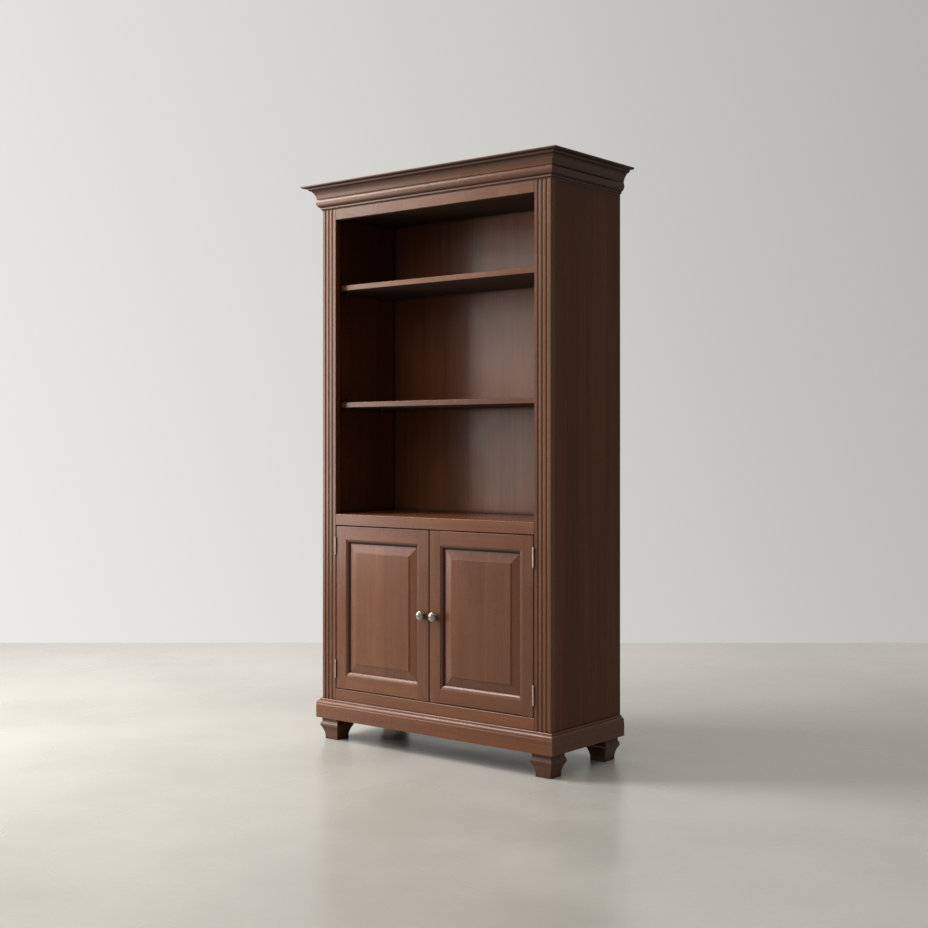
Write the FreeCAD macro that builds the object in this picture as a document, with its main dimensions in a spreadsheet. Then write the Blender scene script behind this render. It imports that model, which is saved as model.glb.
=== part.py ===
"""Traditional bookcase: crown cornice, fluted pilasters, open shelves over a two-door cabinet.

Millimetres, +Z up, the front faces -Y. The origin is on the floor, under the middle of the
overall box. Left and right are as seen from the front.
"""
import FreeCAD
import Part
import Sketcher
import math
import os
from types import SimpleNamespace

# Driving dimensions in millimetres; a name that ends in _count or _hole is a plain number.
SIZES = {
    # Case, from the floor up
    "case_width": 930,
    "case_depth": 370,
    "foot_height": 72,
    "plinth_height": 63,
    "bottom_rail_show": 37,
    "door_opening_height": 538,
    "middle_rail_width": 37,
    "shelf_opening_height": 968,
    "top_rail_show": 35,
    "cornice_height": 74,
    "cap_thickness": 6,
    # Boards and panels
    "side_thickness": 18,
    "board_thickness": 18,
    "housing_depth": 6,
    "back_thickness": 6,
    "back_inset": 26,
    "back_rabbet": 9,
    "back_play": 0.5,
    "rear_rail_thickness": 18,
    "corner_block_width": 60,
    "edge_ease": 1.5,
    # Face frame
    "stile_width": 61,
    "frame_thickness": 20,
    "flute_width": 8,
    "flute_radius": 4.6,
    # Cornice, as reach out from the frame and height over its foot
    "hollow_height": 5,
    "hollow_radius": 5.2,
    "fillet_reach": 5,
    "fillet_height": 5.5,
    "torus_foot_reach": 6,
    "torus_head_reach": 12,
    "torus_height": 28.5,
    "torus_radius": 19.5,
    "cove_foot_reach": 13.5,
    "cove_head_reach": 26.5,
    "cove_height": 26,
    "cove_radius": 48,
    "ovolo_reach": 36,
    "ovolo_radius": 9.6,
    "cap_reach": 52,
    "cap_round": 5,
    # Plinth moulding, as reach out from the frame and height over its foot
    "plinth_reach": 15,
    "plinth_board_height": 43,
    "plinth_bevel_height": 2,
    "plinth_bevel_reach": 1,
    "plinth_fillet": 2.5,
    "plinth_round_height": 9.5,
    "plinth_round_reach": 8,
    "plinth_round_radius": 9.6,
    "plinth_bead_height": 5,
    "plinth_bead_reach": 3,
    "plinth_bead_radius": 5,
    # Feet
    "foot_inset": 10,
    "foot_ledge_width": 78,
    "foot_bottom_width": 54,
    "foot_neck_width": 69,
    "foot_neck_height": 13,
    "foot_bevel_height": 9,
    "foot_ledge_height": 6,
    "foot_hollow_radius": 70,
    "foot_bolt_diameter": 8,
    "foot_bolt_reach": 40,
    "foot_bolt_play": 0.05,
    # Adjustable shelves and their pins
    "shelf_thickness": 18,
    "shelf_setback": 27,
    "shelf_side_play": 1,
    "shelf_rear_play": 3,
    "cabinet_shelf_setback": 60,
    "pin_pitch": 32,
    "pin_diameter": 5,
    "pin_play": 0.05,
    "pin_hole_depth": 10,
    "pin_front_row": 97,
    "pin_rear_row": 66,
    "pin_spoon_reach": 9,
    "pin_spoon_width": 9,
    "pin_spoon_thickness": 2,
    "lower_holes_from": 123.5,
    "lower_holes_count": 10,
    "lower_shelf_hole": 7,
    "upper_holes_from": 605.5,
    "upper_holes_count": 6,
    "upper_shelf_hole": 4,
    "cabinet_holes_from": 232,
    "cabinet_holes_count": 3,
    "cabinet_shelf_hole": 1,
    # Doors
    "door_gap": 2.5,
    "door_thickness": 20,
    "door_flat": 44,
    "sticking_width": 12,
    "sticking_quirk": 1,
    "sticking_drop": 8,
    "sticking_radius": 16,
    "groove_front": 9,
    "groove_width": 6,
    "groove_depth": 18,
    "panel_play": 2,
    "panel_shadow": 0.5,
    "bevel_width": 29,
    "field_drop": 2,
    "field_step": 1.5,
    # Butt hinges
    "hinge_length": 60,
    "hinge_from_end": 34,
    "knuckle_count": 3,
    "knuckle_play": 0.3,
    "knuckle_clearance": 0.4,
    "leaf_thickness": 1.2,
    "leaf_depth": 17,
    "hinge_pin_diameter": 2.2,
    "hinge_pin_play": 0.05,
    "hinge_screw_spread": 36,
    "hinge_screw_setback": 9.5,
    # Wood screws of the hinges
    "hinge_screw_head": 5.6,
    "hinge_screw_head_height": 0.7,
    "hinge_screw_shank": 2.8,
    "hinge_screw_length": 16,
    "screw_play": 0.05,
    # Back panel screws
    "back_screw_count": 4,
    "back_screw_margin": 75,
    "back_screw_shank": 3.5,
    "back_screw_head": 8,
    "back_screw_head_height": 2.4,
    "back_screw_length": 25,
    # Knobs and their screws
    "knob_from_edge": 24,
    "knob_diameter": 29.5,
    "knob_reach": 22.5,
    "knob_face_diameter": 7,
    "knob_crown_height": 4.5,
    "knob_edge_height": 1,
    "knob_head_height": 10,
    "knob_neck_diameter": 9,
    "knob_neck_height": 6,
    "knob_base_diameter": 15,
    "knob_base_height": 2,
    "knob_bore_depth": 13,
    "knob_screw_diameter": 4,
    "knob_screw_head": 8,
    "knob_screw_head_height": 2.5,
    "knob_screw_play": 0.1,
    # Magnetic catches
    "catch_width": 40,
    "catch_depth": 16,
    "catch_drop": 18,
    "catch_gap": 0.4,
    "catch_edge": 2,
    "strike_thickness": 1.2,
    "strike_width": 30,
    "strike_height": 14,
}


class Size:
    """A length held both as a number and as a formula over the sheet's cells."""

    def __init__(self, value, formula):
        self.value = value
        self.formula = formula

    def __add__(self, other):
        other = as_size(other)
        return Size(self.value + other.value, f"({self.formula} + {other.formula})")

    def __sub__(self, other):
        other = as_size(other)
        return Size(self.value - other.value, f"({self.formula} - {other.formula})")

    def __mul__(self, other):
        other = as_size(other)
        return Size(self.value * other.value, f"({self.formula} * {other.formula})")

    def __truediv__(self, other):
        other = as_size(other)
        return Size(self.value / other.value, f"({self.formula} / {other.formula})")

    def __radd__(self, other):
        return as_size(other) + self

    def __rsub__(self, other):
        return as_size(other) - self

    def __rmul__(self, other):
        return as_size(other) * self

    def __neg__(self):
        return Size(-self.value, f"(0 - {self.formula})")


def as_size(item):
    return item if isinstance(item, Size) else Size(float(item), str(item))


def make_sheet():
    """Writes the driving dimensions into a spreadsheet and returns them as named sizes."""
    sheet = doc.addObject("Spreadsheet::Sheet", "Sizes")
    for row, (name, value) in enumerate(SIZES.items(), start=1):
        sheet.set(f"A{row}", name)
        sheet.set(f"B{row}", str(value))
        sheet.setAlias(f"B{row}", name)
    doc.recompute()
    return SimpleNamespace(**{name: Size(sheet.get(name), f"Sizes.{name}") for name in SIZES})


doc = FreeCAD.newDocument("Bookcase")
s = make_sheet()
sub_parts = []
LEFT = -1
RIGHT = 1

# Sides of the outlines that stand in for small rounds
SMALL_ROUND_SIDES = 6

# Flats round a knob, and bands on each rounded stretch of its head
KNOB_SIDES = 24
KNOB_BANDS = 3

# Heights
z_floor = s.foot_height + s.plinth_height + s.bottom_rail_show
z_board = z_floor - s.board_thickness
z_doors_top = z_floor + s.door_opening_height
z_fixed = z_doors_top + s.middle_rail_width
z_opening_top = z_fixed + s.shelf_opening_height
z_cornice = z_opening_top + s.top_rail_show
z_cap = z_cornice + s.cornice_height
z_fixed_low = z_fixed - s.board_thickness
z_top_low = z_cornice - s.board_thickness

# Depths, from front to rear
y_front = (s.cap_reach - s.case_depth) / 2
y_frame = y_front + s.frame_thickness
y_rear = y_front + s.case_depth
y_back_out = y_rear - s.back_inset
y_back_in = y_back_out - s.back_thickness

# Distances from the middle
x_out = s.case_width / 2
x_in = x_out - s.side_thickness
x_stile = x_out - s.stile_width

# Doors
door_low = z_floor + s.door_gap
door_high = z_doors_top - s.door_gap
hinge_edge = x_stile - s.door_gap
meeting_edge = s.door_gap / 2
door_width = hinge_edge - meeting_edge
door_back = y_front + s.door_thickness
member = s.door_flat + s.sticking_width
groove_foot = member - s.groove_depth
knob_x = meeting_edge + s.knob_from_edge
knob_z = (door_low + door_high) / 2

# Hinges
hinge_lows = {
    "upper": door_high - s.hinge_from_end - s.hinge_length,
    "lower": door_low + s.hinge_from_end,
}
knuckle_radius = s.door_gap / 2 + s.leaf_thickness
hinge_axis_x = x_stile - s.door_gap / 2
hinge_axis_y = y_front - knuckle_radius - s.knuckle_clearance
hinge_screw_y = y_front + s.hinge_screw_setback

# Shelf pins
pin_rows = (y_front + s.pin_front_row, y_back_in - s.pin_rear_row)
pin_groups = {
    "lower": (z_fixed + s.lower_holes_from, s.lower_holes_count, s.lower_shelf_hole),
    "upper": (z_fixed + s.upper_holes_from, s.upper_holes_count, s.upper_shelf_hole),
    "cabinet": (z_floor + s.cabinet_holes_from, s.cabinet_holes_count, s.cabinet_shelf_hole),
}
pin_radius = s.pin_diameter / 2

# Holes for the screws of the back panel
back_hole = s.back_screw_shank + 2 * s.screw_play

# Feet
foot_reach = s.plinth_reach - s.foot_inset - s.foot_ledge_width / 2
foot_x = x_out + foot_reach
foot_ys = {"front": y_front - foot_reach, "rear": y_rear - s.foot_inset - s.foot_ledge_width / 2}


def bind(thing, path, size):
    thing.setExpression(path, as_size(size).formula)


def keep(thing, label):
    """Names a finished sub-part and puts it on the list of pieces to write."""
    thing.Label = label
    sub_parts.append(thing)
    return thing


def new_body(name):
    return doc.addObject("PartDesign::Body", name)


def origin_feature(body, role):
    return next(feature for feature in body.Origin.OriginFeatures if feature.Role == role)


def new_sketch(body, plane, level):
    """An empty sketch on one of the body's own planes, lifted along the plane's normal."""
    sketch = body.newObject("Sketcher::SketchObject", body.Name + "_sketch")
    sketch.AttachmentSupport = (origin_feature(body, plane + "_Plane"), "")
    sketch.MapMode = "FlatFace"
    bind(sketch, "AttachmentOffset.Base.z", level)
    return sketch


def arc_between(start, end, radius):
    """The lesser arc from start to end: a positive radius bends left, a negative one right."""
    chord = end - start
    rise = math.sqrt(max(radius * radius - chord.Length ** 2 / 4, 0))
    left = FreeCAD.Vector(-chord.y, chord.x, 0).normalize()
    centre = (start + end) * 0.5 + left * math.copysign(rise, radius)
    first, last = (start, end) if radius > 0 else (end, start)
    angles = [math.atan2(point.y - centre.y, point.x - centre.x) for point in (first, last)]
    if angles[1] < angles[0]:
        angles[1] += 2 * math.pi
    circle = Part.Circle(centre, FreeCAD.Vector(0, 0, 1), abs(radius))
    return Part.ArcOfCircle(circle, angles[0], angles[1])


def trace(sketch, outline):
    """Draws a closed outline whose points are (x, y), or (x, y, radius) where an arc ends."""
    corners = [[as_size(item) for item in point] for point in outline]
    spots = [FreeCAD.Vector(corner[0].value, corner[1].value, 0) for corner in corners]
    shapes = []
    ends = []
    for index, corner in enumerate(corners):
        if len(corner) == 3:
            shapes.append(arc_between(spots[index - 1], spots[index], corner[2].value))
            ends.append((1, 2) if corner[2].value > 0 else (2, 1))
        else:
            shapes.append(Part.LineSegment(spots[index - 1], spots[index]))
            ends.append((1, 2))
    first = sketch.GeometryCount
    sketch.addGeometry(shapes, False)
    rules = []
    formulas = []
    for index, corner in enumerate(corners):
        following = (index + 1) % len(corners)
        edge = first + index
        tail = ends[index][1]
        rules.append(Sketcher.Constraint("Coincident", edge, tail, first + following, ends[following][0]))
        formulas.append(None)
        rules.append(Sketcher.Constraint("DistanceX", -1, 1, edge, tail, corner[0].value))
        formulas.append(corner[0])
        rules.append(Sketcher.Constraint("DistanceY", -1, 1, edge, tail, corner[1].value))
        formulas.append(corner[1])
        if len(corner) == 3:
            size = corner[2] if corner[2].value > 0 else -corner[2]
            rules.append(Sketcher.Constraint("Radius", edge, size.value))
            formulas.append(size)
    apply_rules(sketch, rules, formulas)


def apply_rules(sketch, rules, formulas):
    first = sketch.ConstraintCount
    sketch.addConstraint(rules)
    for index, size in enumerate(formulas):
        if size is not None:
            bind(sketch, f"Constraints[{first + index}]", size)


def trace_circle(sketch, x, y, radius):
    x, y, radius = as_size(x), as_size(y), as_size(radius)
    centre = FreeCAD.Vector(x.value, y.value, 0)
    edge = sketch.addGeometry(Part.Circle(centre, FreeCAD.Vector(0, 0, 1), radius.value), False)
    rules = [
        Sketcher.Constraint("DistanceX", -1, 1, edge, 3, x.value),
        Sketcher.Constraint("DistanceY", -1, 1, edge, 3, y.value),
        Sketcher.Constraint("Radius", edge, radius.value),
    ]
    apply_rules(sketch, rules, [x, y, radius])


def finish_feature(body, feature, sketch, length):
    feature.Profile = sketch
    bind(feature, "Length", length)
    body.Tip = feature
    return feature


def add_prism(body, plane, start, length, outline):
    """Adds a prism from start over length, along the axis square to the plane."""
    sketch = new_sketch(body, plane, -(start + length) if plane == "XZ" else start)
    trace(sketch, outline)
    return finish_feature(body, body.newObject("PartDesign::Pad", body.Name + "_pad"), sketch, length)


def pocket_sketch(body, plane, start, length):
    return new_sketch(body, plane, -start if plane == "XZ" else start + length)


def cut_prism(body, plane, start, length, outline):
    """Takes away a prism from start over length, along the axis square to the plane."""
    sketch = pocket_sketch(body, plane, start, length)
    trace(sketch, outline)
    return finish_feature(body, body.newObject("PartDesign::Pocket", body.Name + "_cut"), sketch, length)


def small_round(x, y, across):
    """Outline with few sides for a small shank or hole, which keeps its width over the flats."""
    corner = 0.5 / math.cos(math.pi / SMALL_ROUND_SIDES)
    points = []
    for number in range(SMALL_ROUND_SIDES):
        angle = 2 * math.pi * number / SMALL_ROUND_SIDES
        along, up = round(corner * math.cos(angle), 9), round(corner * math.sin(angle), 9)
        points.append((x + across * along, y + across * up))
    return points


def drill(body, plane, start, length, across, centres):
    """Sinks small holes from start over length, along the axis square to the plane."""
    sketch = pocket_sketch(body, plane, start, length)
    for x, y in centres:
        trace(sketch, small_round(x, y, across))
    return finish_feature(body, body.newObject("PartDesign::Pocket", body.Name + "_hole"), sketch, length)


def screw(name, plane, shank, length, head, head_height):
    """Screw along the axis square to the plane: the head's seat is at 0, the shank below it."""
    body = new_body(name)
    add_prism(body, plane, -length, length, small_round(0, 0, shank))
    add_prism(body, plane, as_size(0), head_height, small_round(0, 0, head))
    return body


def repeat(body, feature, axis, pitch, count):
    """Repeats a feature along one of the body's axes."""
    pattern = body.newObject("PartDesign::LinearPattern", body.Name + "_row")
    pattern.Originals = [feature]
    pattern.Direction = (origin_feature(body, axis + "_Axis"), [""])
    bind(pattern, "Length", pitch * (count - 1))
    bind(pattern, "Occurrences", count)
    body.Tip = pattern


def place(thing, x, y, z, quarter_turns=0):
    """Sets a piece at a point, turned about Z by quarter turns."""
    turned = FreeCAD.Rotation(FreeCAD.Vector(0, 0, 1), 90 * quarter_turns)
    thing.Placement = FreeCAD.Placement(FreeCAD.Vector(), turned)
    bind(thing, "Placement.Base.x", x)
    bind(thing, "Placement.Base.y", y)
    bind(thing, "Placement.Base.z", z)


def gather(label, things):
    """Joins separate solids of one kind into one sub-part."""
    compound = doc.addObject("Part::Compound", label)
    compound.Links = things
    return keep(compound, label)


def copies(label, piece, spots):
    """A sub-part made of copies of one piece, each at (x, y, z, quarter_turns)."""
    links = []
    for number, spot in enumerate(spots, start=1):
        link = doc.addObject("App::Link", f"{label}_{number}")
        link.LinkedObject = piece
        place(link, *spot)
        links.append(link)
    return gather(label, links)


def boolean(kind, name, base, tool):
    result = doc.addObject("Part::" + kind, name)
    result.Base = base
    result.Tool = tool
    return result


def rect(x0, x1, y0, y1):
    return [(x0, y0), (x1, y0), (x1, y1), (x0, y1)]


def band(side, near, far):
    """Start and length along X of the band between two distances from the middle, on one side."""
    return (near, far - near) if side == RIGHT else (-far, far - near)


def board(label, x0, x1, y0, y1, z0, z1):
    """A plain board or block."""
    body = new_body(label)
    add_prism(body, "XY", z0, z1 - z0, rect(x0, x1, y0, y1))
    return body


def side_panel(label, side):
    """Side of the case: rabbet for the back, housings for the fixed boards, rows of pin holes."""
    body = new_body(label)
    add_prism(body, "YZ", *band(side, x_in, x_out), rect(y_frame, y_rear, s.foot_height, z_cap))
    cut_prism(body, "YZ", *band(side, x_in, x_in + s.back_rabbet), rect(y_back_in, y_rear, z_board, z_cap))
    for low in (z_board, z_fixed_low, z_top_low):
        housing = rect(y_frame, y_back_in, low, low + s.board_thickness)
        cut_prism(body, "YZ", *band(side, x_in, x_in + s.housing_depth), housing)
    for first, count, _ in pin_groups.values():
        centres = [(row, first) for row in pin_rows]
        across = s.pin_diameter + 2 * s.pin_play
        holes = drill(body, "YZ", *band(side, x_in, x_in + s.pin_hole_depth), across, centres)
        repeat(body, holes, "Z", s.pin_pitch, count)
    keep(body, label)


def back_screw_row():
    """Place of the first back screw and the pitch of its row."""
    first = s.back_screw_margin - x_in
    return first, -2 * first / (s.back_screw_count - 1)


def housed_board(label, low):
    """A fixed board: its ends sit in the housings and its rear edge takes the back's screws."""
    body = new_body(label)
    end = x_in + s.housing_depth
    add_prism(body, "XY", low, s.board_thickness, rect(-end, end, y_frame, y_back_in))
    depth = s.back_screw_length - s.back_thickness
    first, pitch = back_screw_row()
    centres = [(first, low + s.board_thickness / 2)]
    hole = drill(body, "XZ", y_back_in - depth, depth, back_hole, centres)
    repeat(body, hole, "X", pitch, s.back_screw_count)
    keep(body, label)


def back_panel():
    body = new_body("back_panel")
    end = x_in + s.back_rabbet - s.back_play
    add_prism(body, "XZ", y_back_in, s.back_thickness, rect(-end, end, z_board, z_cap))
    first, pitch = back_screw_row()
    for low in (z_board, z_fixed_low, z_top_low):
        centres = [(first, low + s.board_thickness / 2)]
        hole = drill(body, "XZ", y_back_in, s.back_thickness, back_hole, centres)
        repeat(body, hole, "X", pitch, s.back_screw_count)
    keep(body, "back_panel")


def back_screws():
    """Pan-head screws through the back panel into the edges of the fixed boards."""
    piece = screw(
        "back_screw", "XZ", s.back_screw_shank, s.back_screw_length,
        s.back_screw_head, s.back_screw_head_height,
    )
    first, pitch = back_screw_row()
    spots = []
    for low in (z_board, z_fixed_low, z_top_low):
        for number in range(SIZES["back_screw_count"]):
            spots.append((first + pitch * number, y_back_out, low + s.board_thickness / 2))
    copies("back_panel_screws", piece, spots)


def pilaster(label, side):
    """Fluted stile of the face frame, let in for the frame leaves of its two hinges."""
    body = new_body(label)

    def at(inward):
        return side * (x_out - inward)

    ease = s.edge_ease
    outline = [(at(0), y_frame), (at(0), y_front + ease), (at(ease), y_front)]
    for quarter in (1, 2, 3):
        middle = s.stile_width * quarter / 4
        outline.append((at(middle - s.flute_width / 2), y_front))
        outline.append((at(middle + s.flute_width / 2), y_front, side * s.flute_radius))
    outline.append((at(s.stile_width - ease), y_front))
    outline.append((at(s.stile_width), y_front + ease))
    outline.append((at(s.stile_width), y_frame))
    add_prism(body, "XY", s.foot_height, z_cap - s.foot_height, outline)
    mortises(body, side, x_stile, s.leaf_thickness)
    keep(body, label)


def mortises(body, side, edge, depth):
    """Lets a stile in for two hinge leaves and sinks their screw holes; depth runs from the edge."""
    bottom = edge + depth
    reach = s.hinge_screw_length + s.hinge_screw_head_height
    inner = edge + (reach if depth.value > 0 else -reach)
    across = s.hinge_screw_shank + 2 * s.screw_play
    for low in hinge_lows.values():
        bed = rect(y_front, y_front + s.leaf_depth, low, low + s.hinge_length)
        cut_prism(body, "YZ", *ordered_band(side, edge, bottom), bed)
        centres = [(hinge_screw_y, z) for z in hinge_screw_heights(low)]
        drill(body, "YZ", *ordered_band(side, bottom, inner), across, centres)


def ordered_band(side, one, other):
    return band(side, one, other) if one.value < other.value else band(side, other, one)


def hinge_screw_heights(low):
    middle = low + s.hinge_length / 2
    return (middle - s.hinge_screw_spread / 2, middle + s.hinge_screw_spread / 2)


def frame_rail(label, low, high):
    """Rail of the face frame, with its two front edges eased."""
    body = new_body(label)
    ease = s.edge_ease
    outline = [
        (y_frame, low), (y_frame, high), (y_front + ease, high), (y_front, high - ease),
        (y_front, low + ease), (y_front + ease, low),
    ]
    add_prism(body, "YZ", -x_stile, 2 * x_stile, outline)
    keep(body, label)


def cornice_outline(spot, bend):
    """Crown profile, foot first: hollow, fillet, torus, cove and ovolo.

    spot(reach, height) gives a sketch point, and bend is 1 where outward bulges turn left.
    """
    fillet_top = s.hollow_height + s.fillet_height
    torus_top = fillet_top + s.torus_height
    cove_top = torus_top + s.cove_height
    return [
        spot(0, 0), (*spot(s.fillet_reach, s.hollow_height), -bend * s.hollow_radius),
        spot(s.fillet_reach, fillet_top), spot(s.torus_foot_reach, fillet_top),
        (*spot(s.torus_head_reach, torus_top), bend * s.torus_radius), spot(s.cove_foot_reach, torus_top),
        (*spot(s.cove_head_reach, cove_top), -bend * s.cove_radius),
        (*spot(s.ovolo_reach, s.cornice_height), bend * s.ovolo_radius), spot(0, s.cornice_height),
    ]


def plinth_outline(spot, bend):
    """Base profile: a flat board under a bevel, a fillet, a quarter round and a bead."""
    bevel_top = s.plinth_board_height + s.plinth_bevel_height
    bevel_reach = s.plinth_reach - s.plinth_bevel_reach
    round_foot = bevel_top + s.plinth_fillet
    round_top = round_foot + s.plinth_round_height
    round_reach = bevel_reach - s.plinth_round_reach
    bead_foot = s.plinth_height - s.plinth_bead_height
    bead_reach = round_reach - s.plinth_bead_reach
    return [
        spot(0, 0), spot(s.plinth_reach, 0), spot(s.plinth_reach, s.plinth_board_height),
        spot(bevel_reach, bevel_top), spot(bevel_reach, round_foot),
        (*spot(round_reach, round_top), bend * s.plinth_round_radius), spot(round_reach, bead_foot),
        (*spot(bead_reach, s.plinth_height), bend * s.plinth_bead_radius), spot(0, s.plinth_height),
    ]


def moulding(name, outline, foot, height, reach):
    """A moulding that runs round the front and both sides, in three lengths mitred at the corners."""
    front = new_body(name + "_front")
    profile = outline(lambda out, up: (y_front - out, foot + up), -1)
    end = x_out + reach
    add_prism(front, "YZ", -end, 2 * end, profile)
    for side in (LEFT, RIGHT):
        mitre = [(side * x_out, y_front), (side * end, y_front), (side * end, y_front - reach)]
        cut_prism(front, "XY", foot, height, mitre)
    keep(front, name + "_front")
    for side, word in ((LEFT, "left"), (RIGHT, "right")):
        body = new_body(f"{name}_{word}")
        profile = outline(lambda out, up: (side * (x_out + out), foot + up), side)
        add_prism(body, "XZ", y_front - reach, s.case_depth + reach, profile)
        mitre = [(side * x_out, y_front), (side * x_out, y_front - reach), (side * end, y_front - reach)]
        cut_prism(body, "XY", foot, height, mitre)
        keep(body, f"{name}_{word}")


def cornice_cap():
    """Top board: its front and side edges are rounded underneath, its rear edge is square."""
    end = x_out + s.cap_reach
    low = z_cap
    high = z_cap + s.cap_thickness
    lip = y_front - s.cap_reach
    turned = s.cap_round
    long_body = new_body("cap_length")
    long_outline = [
        (y_rear, low), (y_rear, high), (lip, high), (lip, low + turned), (lip + turned, low, turned),
    ]
    add_prism(long_body, "YZ", -end, 2 * end, long_outline)
    cross_body = new_body("cap_breadth")
    cross_outline = [
        (end - turned, low), (end, low + turned, turned), (end, high), (-end, high),
        (-end, low + turned), (turned - end, low, turned),
    ]
    add_prism(cross_body, "XZ", lip, y_rear - lip, cross_outline)
    keep(boolean("Common", "cornice_cap", long_body, cross_body), "cornice_cap")


def foot(label, x, y):
    """Square block foot: neck, bevelled ledge, then a hollow taper to the floor."""
    neck_low = s.foot_height - s.foot_neck_height
    ledge_top = neck_low - s.foot_bevel_height
    ledge_low = ledge_top - s.foot_ledge_height
    bottom, ledge, neck = s.foot_bottom_width / 2, s.foot_ledge_width / 2, s.foot_neck_width / 2
    hollow = -s.foot_hollow_radius

    def outline(middle):
        right, left = middle + ledge, middle - ledge
        return [
            (middle + bottom, 0), (right, ledge_low, hollow), (right, ledge_top), (middle + neck, neck_low),
            (middle + neck, s.foot_height), (middle - neck, s.foot_height), (middle - neck, neck_low),
            (left, ledge_top), (left, ledge_low), (middle - bottom, 0, hollow),
        ]

    front_body = new_body(label + "_breadth")
    add_prism(front_body, "XZ", y - ledge, 2 * ledge, outline(x))
    side_body = new_body(label + "_depth")
    add_prism(side_body, "YZ", x - ledge, 2 * ledge, outline(y))
    block = boolean("Common", label + "_block", front_body, side_body)
    hole = new_body(label + "_hole")
    start = s.foot_height - s.foot_bolt_reach
    add_prism(hole, "XY", start, s.foot_bolt_reach, small_round(x, y, s.foot_bolt_diameter))
    keep(boolean("Cut", label, block, hole), label)


def corner_block(side, place_word):
    """Block in a corner under the case bottom, drilled for the bolt of the foot below it."""
    y = foot_ys[place_word]
    if place_word == "front":
        y0, y1 = y_frame, y_frame + s.corner_block_width
    else:
        y0, y1 = y_back_in - s.corner_block_width, y_back_in
    start, length = band(side, x_in - s.corner_block_width, x_in)
    body = board("corner_block", start, start + length, y0, y1, s.foot_height, z_board)
    drill(body, "XY", s.foot_height, s.foot_bolt_reach, s.foot_bolt_diameter, [(side * foot_x, y)])
    return body


def feet():
    """Four feet, the blocks over them and the studs that join each foot to its block."""
    bolt = new_body("foot_bolt")
    across = s.foot_bolt_diameter - 2 * s.foot_bolt_play
    add_prism(bolt, "XY", -s.foot_bolt_reach, 2 * s.foot_bolt_reach, small_round(0, 0, across))
    spots = []
    blocks = []
    for word, y in foot_ys.items():
        for side, side_word in ((LEFT, "left"), (RIGHT, "right")):
            foot(f"foot_{word}_{side_word}", side * foot_x, y)
            blocks.append(corner_block(side, word))
            spots.append((side * foot_x, y, s.foot_height))
    gather("corner_blocks", blocks)
    copies("foot_bolts", bolt, spots)


def shelf_seat(group):
    """Height of the underside of the shelf that stands on a group's pins."""
    first, _, hole = pin_groups[group]
    return first + hole * s.pin_pitch + pin_radius


def shelf(label, group, setback):
    """Loose shelf with an eased front edge, standing on four pins."""
    body = new_body(label)
    low = shelf_seat(group)
    high = low + s.shelf_thickness
    front = y_front + setback
    rear = y_back_in - s.shelf_rear_play
    ease = s.edge_ease
    outline = [
        (rear, low), (rear, high), (front + ease, high), (front, high - ease),
        (front, low + ease), (front + ease, low),
    ]
    end = x_in - s.shelf_side_play
    add_prism(body, "YZ", -end, 2 * end, outline)
    keep(body, label)


def shelf_pins():
    """Spoon pins, drawn for the left side: a shank in the hole and a flat spoon under the shelf."""
    pin = new_body("shelf_pin")
    half = s.pin_spoon_width / 2
    spoon = rect(-half, half, pin_radius - s.pin_spoon_thickness, pin_radius)
    add_prism(pin, "YZ", as_size(0), s.pin_spoon_reach, spoon)
    add_prism(pin, "YZ", -s.pin_hole_depth, s.pin_hole_depth, small_round(0, 0, s.pin_diameter))
    spots = []
    for group in pin_groups:
        height = shelf_seat(group) - pin_radius
        for row in pin_rows:
            spots.append((-x_in, row, height, 0))
            spots.append((x_in, row, height, 2))
    copies("shelf_pins", pin, spots)


def hinge_leaf(label, side, low, edge, depth, owns_even):
    """One leaf of a butt hinge: a plate in its stile's edge and every second knuckle on the axis."""
    body = new_body(label)
    start, length = ordered_band(side, edge, edge + depth)
    plate = rect(y_front, y_front + s.leaf_depth, low, low + s.hinge_length)
    add_prism(body, "YZ", start, length, plate)
    step = s.hinge_length / s.knuckle_count
    axis = (side * hinge_axis_x, hinge_axis_y)
    for number in range(SIZES["knuckle_count"]):
        if (number % 2 == 0) != owns_even:
            continue
        bottom = low + step * number + s.knuckle_play / 2
        tall = step - s.knuckle_play
        add_prism(body, "XY", bottom, tall, rect(start, start + length, hinge_axis_y, y_front))
        sketch = new_sketch(body, "XY", bottom)
        trace_circle(sketch, *axis, knuckle_radius)
        finish_feature(body, body.newObject("PartDesign::Pad", label + "_knuckle"), sketch, tall)
    bore = s.hinge_pin_diameter if owns_even else s.hinge_pin_diameter + 2 * s.hinge_pin_play
    drill(body, "XY", low, s.hinge_length, bore, [axis])
    seat = edge + (s.hinge_screw_head_height if depth.value > 0 else -s.hinge_screw_head_height)
    centres = [(hinge_screw_y, z) for z in hinge_screw_heights(low)]
    drill(body, "YZ", start, length, s.hinge_screw_shank + 2 * s.screw_play, centres)
    drill(body, "YZ", *ordered_band(side, edge, seat), s.hinge_screw_head + 2 * s.screw_play, centres)
    keep(body, label)


def hinge_pins():
    """Plain pins, flush with the ends of the knuckles."""
    pin = new_body("hinge_pin")
    sketch = new_sketch(pin, "XY", 0)
    trace_circle(sketch, 0, 0, s.hinge_pin_diameter / 2)
    finish_feature(pin, pin.newObject("PartDesign::Pad", "hinge_pin_length"), sketch, s.hinge_length)
    spots = []
    for side in (LEFT, RIGHT):
        for low in hinge_lows.values():
            spots.append((side * hinge_axis_x, hinge_axis_y, low))
    copies("hinge_pins", pin, spots)


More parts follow.
